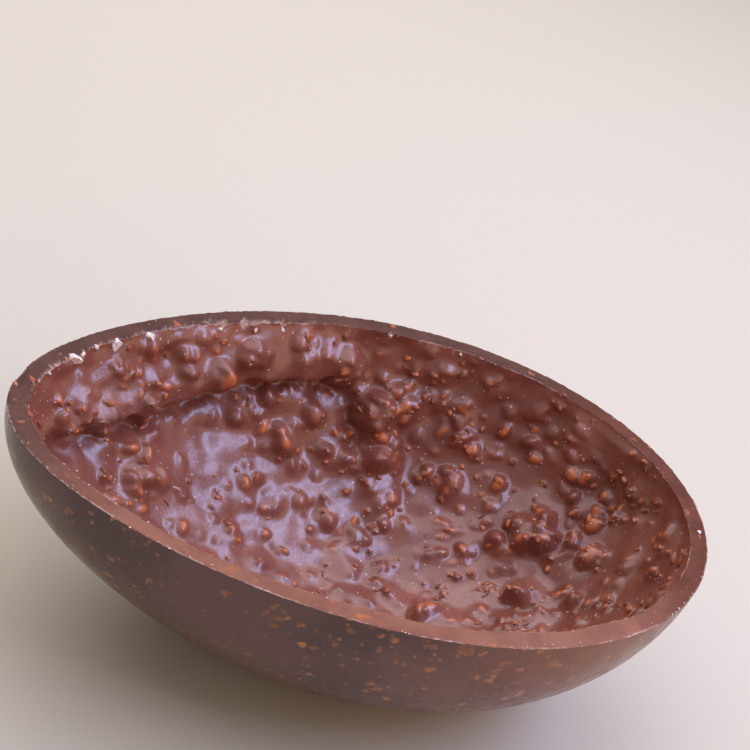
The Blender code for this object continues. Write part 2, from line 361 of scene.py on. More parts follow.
# %% Nuts everywhere
patchy = np.clip(0.6 + 0.30 * waves(plain, 30, 8 * MM, 22 * MM), 0.10, 1.6)
likely = cell_area * patchy * (0.62 + 0.38 * ease(x, -20 * MM, 40 * MM))
likely *= ease(depth, 0.6 * MM, 2.5 * MM)
likely[:3] = 0.0
likely[-3:] = 0.0
likely = (likely / likely.sum()).ravel()


def scatter(count, sizes, stretches, rises, softness, blend, shows, skirt):
    """Grains at random places; sizes and the fillet in mm, rises as a share of the size."""
    spots = []
    for place in rng.choice(likely.size, size=count, p=likely):
        row, column = divmod(int(place), RING_STEPS + 1)
        half_size = rng.uniform(*sizes) * MM
        rise = half_size * rng.uniform(*rises) * (0.35 + 0.65 * float(near_rim[row, column]))
        add_grain(
            row, column, half_size, rng.uniform(*stretches), rise,
            rng.uniform(*softness), blend * MM, float(rng.choice(shows)) * float(near_rim[row, column]), skirt,
        )
        spots.append((row, column, half_size))
    return spots


def film(values, passes):
    """Let the chocolate film round the field: each pass averages neighbouring points."""
    for _ in range(passes):
        values[1:-1] = 0.25 * values[:-2] + 0.5 * values[1:-1] + 0.25 * values[2:]
        values[:, 1:-1] = 0.25 * values[:, :-2] + 0.5 * values[:, 1:-1] + 0.25 * values[:, 2:]


scatter(170, (1.2, 2.1), (1.0, 1.5), (0.25, 0.65), (0.15, 0.30), 1.2, [0.0, 0.0, 0.2], 0.6)
scatter(440, (0.8, 1.3), (1.1, 1.9), (0.35, 0.90), (0.14, 0.26), 0.8, [0.0, 0.4, 0.8], 0.5)
film(height, 5)
bit_spots = scatter(520, (0.55, 1.00), (1.0, 1.5), (0.35, 0.70), (0.2, 0.3), 0.60, [0.0, 0.4, 0.8], 0.4)
film(height, 1)
film(nut_show, 1)
height *= near_tip
print("relief up to", round(height.max() / MM, 2), "mm")

# %% Bloom
BLOOM = ((-69.0, 26.0, 6.0), (-73.0, 36.0, 5.0), (-64.0, 31.0, 5.0), (-78.0, 52.0, 5.0))

bloom = np.zeros_like(depth)
for x_mm, angle, spread in BLOOM:
    away = distance_from(*lining_spot(x_mm, angle)) / (spread * MM)
    bloom = np.maximum(bloom, np.exp(-away * away))
bloom *= np.clip(0.7 + 0.4 * waves(plain, 24, 4 * MM, 12 * MM), 0.0, 1.0)

# %% [markdown]
# ## The rim
#
# The rim is where the two halves met. It is a level band, but not a machined one: its
# edges are rubbed round, the outer edge carries a rough burr, and where nuts were torn
# out, the inner edge is chipped away and shows the pale, crumbly break.
#
# The rim gets its own strips of points, from the inner edge to the outer edge, and a depth
# below the level for each of them.

# %% Rim strips
RIM_SHARES = np.array([0.0, 0.05, 0.11, 0.18, 0.26, 0.35, 0.46, 0.57, 0.68, 0.78, 0.86, 0.92, 0.965, 1.0])
CHIPPED_START, CHIPPED_END = -97 * MM, -2 * MM
BITES = ((-30.2, 1.8), (-36.5, 1.5), (-17.7, 1.2), (17.2, 1.0))
EDGE_STEP = -96.1 * MM
CRACK_X = 67.0 * MM


def rim_strip(side):
    """Level points of the rim on one side (+1 or -1), and their depth below the level."""
    inner = plain[:, 0 if side > 0 else -1].copy()
    inner += inward[:, 0 if side > 0 else -1] * rim_wobble
    outer_edge = outer_points(row_turn, np.array([[0.0 if side > 0 else math.pi]]))[:, 0]
    shares = RIM_SHARES[None, :, None]
    strip = inner[:, None, :] * (1.0 - shares) + outer_edge[:, None, :] * shares
    strip[..., 2] = RIM_HEIGHT
    from_inner = np.linalg.norm(strip - strip[:, :1], axis=-1)
    from_outer = np.linalg.norm(strip - strip[:, -1:], axis=-1)
    drop = 0.04 * MM * (1.0 + waves(strip, 40, 1.5 * MM, 6 * MM))
    inner_round = (0.18 + 0.10 * waves(strip, 20, 2 * MM, 8 * MM)) * MM
    drop += inner_round * (1.0 - ease(from_inner, 0.0, 0.5 * MM))
    outer_round = (0.20 + 0.10 * waves(strip, 30, 1.5 * MM, 8 * MM)) * MM
    drop += outer_round * (1.0 - ease(from_outer, 0.0, 0.5 * MM))
    rough = waves(strip, 60, 0.9 * MM, 3.5 * MM)
    patches = 0.25 + 0.45 * waves(strip[:, :1], 20, 8 * MM, 30 * MM) + 0.35 * rough
    at_edge = np.maximum(1.0 - ease(from_outer, 0.1 * MM, 0.5 * MM), 1.0 - ease(from_inner, 0.0, 0.3 * MM))
    scraped = at_edge * np.clip(patches, 0.0, 1.0)
    if side > 0:
        chipped = ease(strip[..., 0], CHIPPED_START, CHIPPED_START + 6 * MM)
        chipped *= 1.0 - ease(strip[..., 0], CHIPPED_END - 14 * MM, CHIPPED_END)
        width = (1.0 + 0.6 * waves(strip[:, :1], 20, 5 * MM, 14 * MM)) * MM
        chip = chipped * (1.0 - ease(from_inner, width - 0.4 * MM, width + 0.1 * MM))
        drop += chip * (0.50 + 0.12 * rough) * MM
        scraped = np.maximum(scraped, chip * np.clip(0.20 + 0.30 * rough, 0.0, 0.8))
        for bite_x, half_width in BITES:
            beside = np.abs(strip[..., 0] / MM - bite_x) / half_width
            bite = np.clip(1.0 - beside - from_inner / (1.2 * half_width * MM), 0.0, 1.0)
            drop += 2.0 * MM * bite
            scraped = np.maximum(scraped, ease(bite, 0.0, 0.25))
        beside = np.hypot(strip[..., 0] - EDGE_STEP, from_outer)
        drop += 1.2 * MM * (1.0 - ease(beside, 0.4 * MM, 2.4 * MM))
    else:
        beside = np.abs(strip[..., 0] - CRACK_X - 0.25 * (strip[..., 1] - strip[:, -1:, 1]))
        drop += 0.35 * MM * (1.0 - ease(beside, 0.0, 0.5 * MM))
    return strip, np.maximum(drop, 0.0), scraped


plus_rim, plus_drop, plus_scraped = rim_strip(1)
minus_rim, minus_drop, minus_scraped = rim_strip(-1)
plus_rim[..., 2] -= plus_drop * near_tip
minus_rim[..., 2] -= minus_drop * near_tip
print("rim up to", round(float(plus_drop.max()) / MM, 2), "mm below its level")

# %% [markdown]
# ## Rolling up the shell
#
# Cut across its length, the shell is a closed loop: down the outer wall, over the rim, along
# the lining and back over the other rim. So a flat sheet of squares can be rolled into the
# loop, row by row, and welded along the seam and at both tips. The result is one closed
# solid, with its wall and its lining in one piece, as on the real egg.

# %% Loop of points
OUTER_STEPS = 84
height[:, 0] = rim_wobble[:, 0]
height[:, -1] = rim_wobble[:, 0]
lining = plain + inward * (height + (1.0 - near_rim) * rim_wobble * (depth > 0.0))[..., None]
lining[..., 2] -= fold_drop * near_tip
half_ring = RING_STEPS // 2
lining[:, :half_ring, 2] = np.minimum(lining[:, :half_ring, 2], plus_rim[:, :1, 2])
lining[:, half_ring:, 2] = np.minimum(lining[:, half_ring:, 2], minus_rim[:, :1, 2])
lining[:, 0] = plus_rim[:, 0]
lining[:, -1] = minus_rim[:, 0]

outer_turn = np.linspace(0.0, math.pi, OUTER_STEPS + 1)[None, :]
outer = outer_points(row_turn, outer_turn)
outer[..., 2] = np.maximum(outer[..., 2], 0.0)
half_turn = OUTER_STEPS // 2
outer[:, :half_turn, 2] = np.minimum(outer[:, :half_turn, 2], plus_rim[:, -1:, 2])
outer[:, half_turn:, 2] = np.minimum(outer[:, half_turn:, 2], minus_rim[:, -1:, 2])
outer[:, 0] = plus_rim[:, -1]
outer[:, -1] = minus_rim[:, -1]

strips = [outer, minus_rim[:, ::-1][:, 1:-1], lining[:, ::-1], plus_rim[:, 1:]]
loop = np.concatenate(strips, axis=1)
columns = loop.shape[1] - 1
starts = np.cumsum([0] + [strip.shape[1] for strip in strips])
print("loop of", columns, "columns and", ROWS, "rows")

# %% Weld the sheet
OUTER_WALL, RIM, LINING = 0, 1, 2
bpy.ops.object.select_all(action="DESELECT")
bpy.ops.mesh.primitive_grid_add(x_subdivisions=columns, y_subdivisions=ROWS, size=0.1)
shell = bpy.context.object
shell.name = "chocolate_shell"
shell.data.vertices.foreach_set("co", loop.reshape(-1, 3).ravel())
shell.data.update()


def store(name, values):
    """Keep one number per point of the loop in the mesh, for the materials to read."""
    layer = shell.data.attributes.new(name, "FLOAT", "POINT")
    layer.data.foreach_set("value", values.ravel())


on_lining = slice(starts[2], starts[3])
show_field = np.zeros(loop.shape[:2])
show_field[:, on_lining] = nut_show[:, ::-1]
store("nut_show", show_field)
bloom_field = np.zeros(loop.shape[:2])
bloom_field[:, on_lining] = bloom[:, ::-1]
store("bloom", bloom_field)
scraped_field = np.zeros(loop.shape[:2])
scraped_field[:, 0] = plus_scraped[:, -1]
scraped_field[:, starts[1] - 1] = minus_scraped[:, -1]
scraped_field[:, starts[1]:starts[2]] = minus_scraped[:, ::-1][:, 1:-1]
scraped_field[:, starts[2]] = minus_scraped[:, 0]
scraped_field[:, starts[3] - 1] = plus_scraped[:, 0]
scraped_field[:, starts[3]:] = plus_scraped[:, 1:]
store("scraped", scraped_field)

part = np.full(columns, RIM)
part[:starts[1] - 1] = OUTER_WALL
part[starts[2]:starts[3] - 1] = LINING
shell.data.polygons.foreach_set("material_index", np.tile(part, ROWS))
keep_fine = shell.vertex_groups.new(name="may_thin")
column_of = np.tile(np.arange(columns + 1), ROWS + 1)
free = (column_of < starts[1] - 1) & (column_of > 0)
free |= (column_of > starts[2]) & (column_of < starts[3] - 1)
keep_fine.add(np.flatnonzero(free).tolist(), 1.0, "REPLACE")

for name in ("milk_chocolate_moulded", "milk_chocolate_cut", "milk_chocolate_coat"):
    shell.data.materials.append(bpy.data.materials.new(name))

bpy.ops.object.mode_set(mode="EDIT")
bpy.ops.mesh.select_all(action="SELECT")
bpy.ops.mesh.remove_doubles(threshold=1e-6)
bpy.ops.mesh.dissolve_degenerate(threshold=1e-7)
bpy.ops.mesh.normals_make_consistent(inside=False)
bpy.ops.object.mode_set(mode="OBJECT")
print("shell has", len(shell.data.polygons), "faces")

# %% Thin out where it is smooth
SHELL_TRIANGLES = 196_000
thin = shell.modifiers.new("thin_out", "DECIMATE")
thin.ratio = SHELL_TRIANGLES / sum(len(face.vertices) - 2 for face in shell.data.polygons)
thin.vertex_group = keep_fine.name
bpy.ops.object.modifier_apply(modifier=thin.name)
shell.vertex_groups.clear()
bpy.ops.object.shade_smooth_by_angle(angle=math.radians(50))
print("shell now has", len(shell.data.polygons), "faces")
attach(shell, "root")
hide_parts("half_shell")

# %% [markdown]
# ## Milk chocolate
#
# Set milk chocolate is a dark fat with sugar and milk in it. It is not a metal and not
# clear, and its cocoa butter gives it a satin gloss, with an IOR near 1.46. The same
# chocolate looks different where it touched the mould, where it was cut, and where it set
# in the air, so the shell has three finishes.

# %% Nodes


def linear(hex_colour):
    """sRGB hex colour as linear RGBA."""
    channels = [int(hex_colour[i:i + 2], 16) / 255.0 for i in (0, 2, 4)]
    curve = [c / 12.92 if c <= 0.04045 else ((c + 0.055) / 1.055) ** 2.4 for c in channels]
    return (*curve, 1.0)


def add_node(tree, kind, links=(), **settings):
    """Add a node, set its properties or inputs by name, and link its inputs."""
    node = tree.nodes.new(kind)
    for name, value in settings.items():
        if hasattr(node, name):
            setattr(node, name, value)
        else:
            node.inputs[name.replace("_", " ").title()].default_value = value
    for socket, source in links:
        tree.links.new(source, node.inputs[socket])
    return node


def per_metre(millimetres):
    """Scale of a pattern whose features are so many millimetres apart."""
    return 1.0 / (millimetres * MM)


def start_material(name):
    """Principled shader and node tree of a material, made if it is not there yet."""
    material = bpy.data.materials.get(name) or bpy.data.materials.new(name)
    material.use_nodes = True
    tree = material.node_tree
    place = add_node(tree, "ShaderNodeTexCoord").outputs["Object"]
    return material, tree, tree.nodes["Principled BSDF"], place


def blend_colours(tree, share, low, high):
    """Colour between two others; each is a hex value or a socket."""
    mix = add_node(tree, "ShaderNodeMix", data_type="RGBA", links=[(0, share)])
    for socket, colour in ((6, low), (7, high)):
        if isinstance(colour, str):
            mix.inputs[socket].default_value = linear(colour)
        else:
            tree.links.new(colour, mix.inputs[socket])
    return mix.outputs[2]


def remap(tree, value, low, high, to_low=0.0, to_high=1.0):
    """Map a range of numbers onto another, clamped and eased."""
    node = add_node(
        tree, "ShaderNodeMapRange", interpolation_type="SMOOTHSTEP", links=[("Value", value)],
        From_Min=low, From_Max=high, To_Min=to_low, To_Max=to_high,
    )
    return node.outputs["Result"]


# %% Coat of the lining
coat, tree, shader, place = start_material("milk_chocolate_coat")
shader.inputs["IOR"].default_value = 1.5
shader.inputs["Specular IOR Level"].default_value = 0.75
cloud = add_node(tree, "ShaderNodeTexNoise", links=[("Vector", place)], Scale=per_metre(14), Detail=4.0)
grit = add_node(tree, "ShaderNodeTexNoise", links=[("Vector", place)], Scale=per_metre(1.3), Detail=3.0)
show = add_node(tree, "ShaderNodeAttribute", attribute_name="nut_show")
dull = add_node(tree, "ShaderNodeAttribute", attribute_name="bloom")
brown = blend_colours(tree, remap(tree, cloud.outputs["Fac"], 0.35, 0.65), "804636", "905644")
speck = remap(tree, grit.outputs["Fac"], 0.68, 0.76, 0.0, 0.5)
brown = blend_colours(tree, speck, brown, "A8623A")
brown = blend_colours(tree, remap(tree, show.outputs["Fac"], 0.05, 0.95), brown, "CC6E38")
dusty = add_node(tree, "ShaderNodeTexVoronoi", links=[("Vector", place)], Scale=per_metre(1.0))
bubble = remap(tree, dusty.outputs["Distance"], 0.15, 0.5, 1.0, 0.3)
veil = add_node(tree, "ShaderNodeMath", operation="MULTIPLY", links=[(0, dull.outputs["Fac"]), (1, bubble)])
brown = blend_colours(tree, veil.outputs["Value"], brown, "A08078")
dust = add_node(tree, "ShaderNodeTexVoronoi", links=[("Vector", place)], Scale=per_metre(1.4))
dust_chance = add_node(tree, "ShaderNodeSeparateColor", links=[("Color", dust.outputs["Color"])])
dust_size = remap(tree, dust_chance.outputs["Red"], 0.66, 1.0, 0.0, 0.17)
near_dust = add_node(tree, "ShaderNodeMath", operation="LESS_THAN", links=[
    (0, dust.outputs["Distance"]), (1, dust_size),
])
coat_colour = blend_colours(tree, near_dust.outputs["Value"], brown, "E4CCBE")
tree.links.new(coat_colour, shader.inputs["Base Color"])
satin = remap(tree, grit.outputs["Fac"], 0.3, 0.7, 0.24, 0.36)
rough = add_node(tree, "ShaderNodeMath", operation="MULTIPLY_ADD", links=[
    (0, dull.outputs["Fac"]), (2, satin),
])
rough.inputs[1].default_value = 0.22
tree.links.new(rough.outputs["Value"], shader.inputs["Roughness"])
skin = add_node(
    tree, "ShaderNodeBump", links=[("Height", grit.outputs["Fac"])], Strength=0.4, Distance=0.14 * MM
)
tree.links.new(skin.outputs["Normal"], shader.inputs["Normal"])

# %% Nut flecks
def nut_flecks(tree, place, size, share):
    """Mask and random number of nut pieces just under the skin.

    size is that of one piece in mm, and share is how much of the surface they take.
    """
    warp = add_node(
        tree, "ShaderNodeTexNoise", links=[("Vector", place)], Scale=per_metre(0.8 * size), Detail=1.0
    )
    shifted = add_node(tree, "ShaderNodeVectorMath", operation="MULTIPLY_ADD", links=[
        (0, warp.outputs["Color"]), (2, place),
    ])
    shifted.inputs[1].default_value = (0.7 * size * MM,) * 3
    pieces = add_node(
        tree, "ShaderNodeTexVoronoi", links=[("Vector", shifted.outputs["Vector"])], Scale=per_metre(size)
    )
    borders = add_node(
        tree, "ShaderNodeTexVoronoi", feature="DISTANCE_TO_EDGE", Scale=per_metre(size),
        links=[("Vector", shifted.outputs["Vector"])],
    )
    chance = add_node(tree, "ShaderNodeSeparateColor", links=[("Color", pieces.outputs["Color"])])
    chosen = add_node(tree, "ShaderNodeMath", operation="LESS_THAN", links=[
        (0, chance.outputs["Red"]), (1, share),
    ])
    soft_edge = remap(tree, borders.outputs["Distance"], 0.0, 0.10)
    mask = add_node(tree, "ShaderNodeMath", operation="MULTIPLY", links=[
        (0, chosen.outputs["Value"]), (1, soft_edge),
    ])
    skin = add_node(tree, "ShaderNodeTexNoise", links=[("Vector", place)], Scale=per_metre(1.5), Detail=2.0)
    strength = remap(tree, skin.outputs["Fac"], 0.35, 0.62, 0.30, 1.0)
    seen = add_node(tree, "ShaderNodeMath", operation="MULTIPLY", links=[
        (0, mask.outputs["Value"]), (1, strength),
    ])
    return seen.outputs["Value"], chance.outputs["Green"]


# %% Cut of the rim
cut, tree, shader, place = start_material("milk_chocolate_cut")
shader.inputs["IOR"].default_value = 1.46
shader.inputs["Specular IOR Level"].default_value = 0.2
grain = add_node(tree, "ShaderNodeTexNoise", links=[("Vector", place)], Scale=per_metre(0.9), Detail=4.0)
cloud = add_node(tree, "ShaderNodeTexNoise", links=[("Vector", place)], Scale=per_metre(9), Detail=3.0)
across = add_node(tree, "ShaderNodeSeparateXYZ", links=[("Vector", place)])
# Painted shade: away from the middle of the near side, from Y -42 mm to -8 mm, the rim's brown turns darker. This
# darker brown stands in for shade, not for wear.
painted_shade_far_side = remap(tree, across.outputs["Y"], -42 * MM, -8 * MM)
rim_brown = blend_colours(tree, remap(tree, cloud.outputs["Fac"], 0.35, 0.65), "85523F", "93604A")
shaded = blend_colours(tree, remap(tree, cloud.outputs["Fac"], 0.35, 0.65), "503026", "5E3A2E")
rim_brown = blend_colours(tree, painted_shade_far_side, rim_brown, shaded)
# Painted shade: towards the blunt end, from X 55 to 85 mm, the rim turns a darker brown still.
painted_shade_end_brown = blend_colours(tree, remap(tree, cloud.outputs["Fac"], 0.35, 0.65), "5C2F1D", "6A3A28")
rim_brown = blend_colours(tree, remap(tree, across.outputs["X"], 55 * MM, 85 * MM), rim_brown, painted_shade_end_brown)
rim_brown = blend_colours(tree, remap(tree, grain.outputs["Fac"], 0.60, 0.75, 0.0, 0.5), rim_brown, "B4836C")
few = remap(tree, cloud.outputs["Fac"], 0.0, 1.0, 0.02, 0.05)
rim_fleck, rim_chance = nut_flecks(tree, place, 1.6, few)
rim_brown = blend_colours(tree, rim_fleck, rim_brown, "B8683C")
scrape = add_node(tree, "ShaderNodeAttribute", attribute_name="scraped")
pale = add_node(tree, "ShaderNodeMath", operation="MULTIPLY", links=[
    (0, scrape.outputs["Fac"]), (1, remap(tree, grain.outputs["Fac"], 0.35, 0.6, 0.35, 1.0)),
])
rim_colour = blend_colours(tree, pale.outputs["Value"], rim_brown, "D2AE9C")
tree.links.new(rim_colour, shader.inputs["Base Color"])
tree.links.new(remap(tree, grain.outputs["Fac"], 0.3, 0.7, 0.42, 0.60), shader.inputs["Roughness"])
crumbly = add_node(
    tree, "ShaderNodeBump", links=[("Height", grain.outputs["Fac"])], Strength=0.5, Distance=0.15 * MM
)
tree.links.new(crumbly.outputs["Normal"], shader.inputs["Normal"])

# %% Moulded outer wall
moulded, tree, shader, place = start_material("milk_chocolate_moulded")
shader.inputs["IOR"].default_value = 1.47


cloud = add_node(tree, "ShaderNodeTexNoise", links=[("Vector", place)], Scale=per_metre(30), Detail=4.0)
haze = add_node(tree, "ShaderNodeTexNoise", links=[("Vector", place)], Scale=per_metre(5), Detail=5.0)
along = add_node(tree, "ShaderNodeSeparateXYZ", links=[("Vector", place)])
# Painted reflection: the wall runs from a cool grey brown at the pointed end to a warm orange brown at the blunt end,
# from X -20 to 60 mm. Over the chocolate's own brown, the greyer side stands in for reflected sky and the warmer side
# for reflected warm light.
painted_sky_reflection_brown = blend_colours(tree, remap(tree, cloud.outputs["Fac"], 0.35, 0.65), "4C3532", "634641")
painted_warm_reflection_brown = blend_colours(tree, remap(tree, cloud.outputs["Fac"], 0.35, 0.65), "6A3920", "7E482B")
wall_brown_and_painted_reflection = blend_colours(tree, remap(tree, along.outputs["X"], -20 * MM, 60 * MM), painted_sky_reflection_brown, painted_warm_reflection_brown)
share = remap(tree, along.outputs["X"], -90 * MM, 60 * MM, 0.035, 0.08)
large_fleck, large_chance = nut_flecks(tree, place, 2.1, share)
small_fleck, small_chance = nut_flecks(tree, place, 1.1, share)
small_tint = blend_colours(tree, small_chance, "74462F", "A0663E")
large_tint = blend_colours(tree, large_chance, "845030", "B87A48")
wall_colour = blend_colours(tree, small_fleck, wall_brown_and_painted_reflection, small_tint)
wall_colour = blend_colours(tree, large_fleck, wall_colour, large_tint)
tree.links.new(wall_colour, shader.inputs["Base Color"])
tree.links.new(remap(tree, haze.outputs["Fac"], 0.35, 0.65, 0.20, 0.32), shader.inputs["Roughness"])
skin = add_node(
    tree, "ShaderNodeBump", links=[("Height", haze.outputs["Fac"])], Strength=0.3, Distance=0.20 * MM
)
tree.links.new(skin.outputs["Normal"], shader.inputs["Normal"])

# %% [markdown]
# ## Nuts laid bare, crumbs and shavings
#
# Where the halves were broken apart, a few nuts were cut through: their flesh is ivory
# white, and it is matte beside the chocolate. Crumbs of nut and chocolate lie in the shell
# and along its edge, with a few thin shavings.
#
# A crumb is a ball of few faces, roughened and cut flat on some sides. Six of them
# are enough: every copy gets its own place, size and turn.

# %% Places on the shell
lining_down = np.gradient(lining, axis=0)
lining_across = np.gradient(lining, axis=1)
lining_normal = np.cross(lining_across, lining_down)
lining_normal /= np.maximum(np.linalg.norm(lining_normal, axis=-1, keepdims=True), 1e-12)
lining_normal *= np.sign(np.sum(lining_normal * inward, axis=-1, keepdims=True))


def on_the_lining(row, column):
    """Place and normal on the finished lining."""
    return Vector(lining[row, column]), Vector(lining_normal[row, column])


# %% Crumb shapes
def crumb_shape(name, seed, subdivisions, cuts):
    """Roughened ball of radius 1 with a few flat cuts."""
    bpy.ops.object.select_all(action="DESELECT")
    bpy.ops.mesh.primitive_ico_sphere_add(subdivisions=subdivisions, radius=1.0)
    crumb = bpy.context.object
    crumb.name = name
    bpy.ops.object.mode_set(mode="EDIT")
    bpy.ops.mesh.select_all(action="SELECT")
    bpy.ops.transform.vertex_random(offset=0.16, uniform=0.0, normal=0.6, seed=seed)
    for _ in range(cuts):
        bpy.ops.mesh.select_all(action="SELECT")
        direction = Vector(rng.normal(size=3)).normalized()
        bpy.ops.mesh.bisect(
            plane_co=direction * rng.uniform(0.5, 0.75), plane_no=direction, use_fill=True, clear_outer=True
        )
    bpy.ops.object.mode_set(mode="OBJECT")
    return crumb


def scattered(name, shapes, placings):
    """One piece from many copies; a placing is a place, a normal and three half sizes."""
    copies = []
    for number, (place, normal, half_sizes, sunk) in enumerate(placings):
        copy = bpy.data.objects.new(name, shapes[number % len(shapes)].data.copy())
        bpy.context.scene.collection.objects.link(copy)
        spin = Matrix.Rotation(rng.uniform(0.0, 2.0 * math.pi), 4, "Z")
        upright = normal.to_track_quat("Z", "Y").to_matrix().to_4x4()
        lift = Matrix.Translation(place + normal * (half_sizes[2] * (1.0 - 2.0 * sunk)))
        copy.data.transform(lift @ upright @ spin @ Matrix.Diagonal((*half_sizes, 1.0)))
        copies.append(copy)
    bpy.ops.object.select_all(action="DESELECT")
    for copy in copies:
        copy.select_set(True)
    bpy.context.view_layer.objects.active = copies[0]
    bpy.ops.object.join()
    piece = bpy.context.object
    piece.name = name
    print(name, "has", len(copies), "bits and", len(piece.data.polygons), "faces")
    return piece


crumb_shapes = [crumb_shape("crumb", seed, 1, 1) for seed in range(6)]
nut_shapes = [crumb_shape("nut", seed, 2, 7) for seed in range(6, 10)]

# %% Crumbs
CRUMBS_INSIDE, CRUMBS_ON_RIM = 650, 110
placings = []
for place in rng.choice(likely.size, size=CRUMBS_INSIDE, p=likely):
    half = rng.uniform(0.10, 0.26) * MM
    sizes = (half * rng.uniform(0.8, 1.6), half, half * 0.7)
    placings.append((*on_the_lining(*divmod(int(place), RING_STEPS + 1)), sizes, 0.25))
for _ in range(CRUMBS_ON_RIM):
    row = int(rng.integers(60, ROWS - 40))
    strip = minus_rim if rng.random() < 0.7 else plus_rim
    share = int(rng.choice([0, 1, 9, 11, 12, 13], p=[0.1, 0.1, 0.1, 0.2, 0.3, 0.2]))
    half = rng.uniform(0.10, 0.24) * MM
    sizes = (half * rng.uniform(0.8, 1.6), half, half * 0.7)
    placings.append((Vector(strip[row, share]), Vector((0.0, 0.0, 1.0)), sizes, 0.35))
crumbs = scattered("crumbs", crumb_shapes, placings)

# %% Bits of nut that show through the coat
bit_shapes = [crumb_shape("bit", seed, 2, 6) for seed in range(10, 18)]
placings = []
for row, column, half in bit_spots:
    sizes = (half * rng.uniform(1.1, 1.9), half * rng.uniform(0.75, 1.0), half * rng.uniform(0.6, 0.9))
    placings.append((*on_the_lining(row, column), sizes, 0.68))
nut_bits = scattered("coated_nut_bits", bit_shapes, placings)
bpy.ops.object.shade_smooth_by_angle(angle=math.radians(40))

# %% Nuts cut through at the rim
# Place in mm along X, degrees down from the +Y rim, and the three half sizes in mm.
CUT_NUTS = (
    (-81.6, 1.0, 2.8, 1.7, 1.5), (-79.0, 2.0, 1.1, 0.8, 0.8), (-69.0, 1.8, 2.7, 1.9, 1.6), (-75.0, 1.5, 1.0, 0.7, 0.7),
    (-59.5, 1.5, 2.2, 1.6, 1.5), (-37.8, 2.0, 1.0, 0.7, 0.7), (-27.0, 2.0, 1.1, 0.8, 0.7), (-17.7, 1.0, 1.2, 0.8, 0.7),
    (17.5, 1.0, 0.9, 0.6, 0.5), (40.0, 1.0, 0.9, 0.6, 0.5), (-88.6, 1.0, 0.9, 0.6, 0.6),
)
UP = Vector((0.0, 0.0, 1.0))
placings = []
for x_mm, angle, *half_sizes in CUT_NUTS:
    place, normal = on_the_lining(*lining_spot(x_mm, angle))
    placings.append((place, (normal + UP).normalized(), [size * MM for size in half_sizes], 0.66))
placings.append((Vector(minus_rim[lining_spot(93.0, 0.0)[0], 7]), UP, (0.8 * MM, 0.6 * MM, 0.4 * MM), 0.25))
cut_nuts = scattered("cut_nuts", nut_shapes, placings)

# %% Nut chips laid bare in the lining
# Place in mm along X, degrees down from the +Y rim, and half sizes in mm.
BARE_CHIPS = (
    (71.0, 39.0, 1.5, 0.8, 0.5), (70.0, 57.5, 1.2, 0.8, 0.6), (72.8, 61.5, 0.9, 0.6, 0.5), (-83.2, 36.4, 1.0, 0.6, 0.4),
    (-31.0, 52.0, 1.0, 0.5, 0.4), (-12.0, 62.0, 1.1, 0.5, 0.4), (30.0, 70.0, 1.2, 0.6, 0.5), (45.0, 76.0, 1.3, 0.7, 0.5),
    (60.0, 88.0, 1.1, 0.7, 0.5), (18.0, 95.0, 1.2, 0.6, 0.5), (-50.0, 100.0, 1.0, 0.6, 0.4), (40.0, 130.0, 1.2, 0.7, 0.5),
    (-10.0, 140.0, 1.0, 0.6, 0.4), (83.0, 75.0, 1.1, 0.6, 0.5), (86.0, 50.0, 1.0, 0.5, 0.4), (55.0, 30.0, 1.0, 0.5, 0.4),
)
placings = []
for x_mm, angle, *half_sizes in BARE_CHIPS:
    placings.append((*on_the_lining(*lining_spot(x_mm, angle)), [size * MM for size in half_sizes], 0.45))
placings.append((Vector(plus_rim[lining_spot(-93.0, 0.0)[0], 10]), UP, (1.2 * MM, 0.7 * MM, 0.5 * MM), 0.45))
bare_chips = scattered("bare_nut_chips", nut_shapes, placings)

# %% Shavings
SHAVINGS = ((41.6, 83.0, 4.2), (54.3, 85.0, 3.4), (56.1, 54.0, 3.6), (22.2, 82.0, 2.6), (-46.0, 66.0, 2.4), (-20.0, 110.0, 3.0))
SHAVING_STEPS = 10


def shaving(place, normal, length):
    """Thin curled strip that touches the lining at its middle."""
    bpy.ops.object.select_all(action="DESELECT")
    bpy.ops.mesh.primitive_grid_add(x_subdivisions=SHAVING_STEPS, y_subdivisions=1, size=1.0)
    strip = bpy.context.object
    bend, tilt = rng.uniform(0.3, 0.9), rng.uniform(-0.5, 0.5)
    upright = normal.to_track_quat("Z", "Y").to_matrix().to_4x4()
    spin = Matrix.Rotation(rng.uniform(0.0, math.pi), 4, "Z")
    for vertex in strip.data.vertices:
        along, across = vertex.co.x * length, vertex.co.y * 0.11 * length
        sideways = across + 0.12 * bend * length * (2.0 * vertex.co.x) ** 2
        rise = 0.25 * MM + 0.5 * bend * abs(along) ** 2 / length + tilt * across
        vertex.co = (along, sideways, rise)
    strip.data.transform(Matrix.Translation(place) @ upright @ spin)
    thick = strip.modifiers.new("thick", "SOLIDIFY")
    thick.thickness = 0.18 * MM
    thick.offset = 0.0
    bpy.ops.object.modifier_apply(modifier=thick.name)
    return strip


strips = [
    shaving(*on_the_lining(*lining_spot(x_mm, angle)), length * MM) for x_mm, angle, length in SHAVINGS
]
bpy.ops.object.select_all(action="DESELECT")
for strip in strips:
    strip.select_set(True)
bpy.context.view_layer.objects.active = strips[0]
bpy.ops.object.join()
shavings = bpy.context.object
shavings.name = "shavings"

# %% Their places in the frame
for shape in crumb_shapes + bit_shapes + nut_shapes:
    bpy.data.objects.remove(shape, do_unlink=True)
pieces = (
    (crumbs, "nut"), (nut_bits, "nut"), (cut_nuts, "nut"), (bare_chips, "nut"), (shavings, "chocolate")
)
for piece, slot in pieces:
    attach(piece, "root")

# %% Nut flesh and skin
flesh, tree, shader, place = start_material("blanched_nut_flesh")
shader.inputs["Roughness"].default_value = 0.62
fibre = add_node(tree, "ShaderNodeTexNoise", links=[("Vector", place)], Scale=per_metre(0.8), Detail=3.0)
flesh_colour = blend_colours(tree, remap(tree, fibre.outputs["Fac"], 0.35, 0.7), "F0E6DC", "C9A890")
tree.links.new(flesh_colour, shader.inputs["Base Color"])
cut_nuts.data.materials.append(flesh)

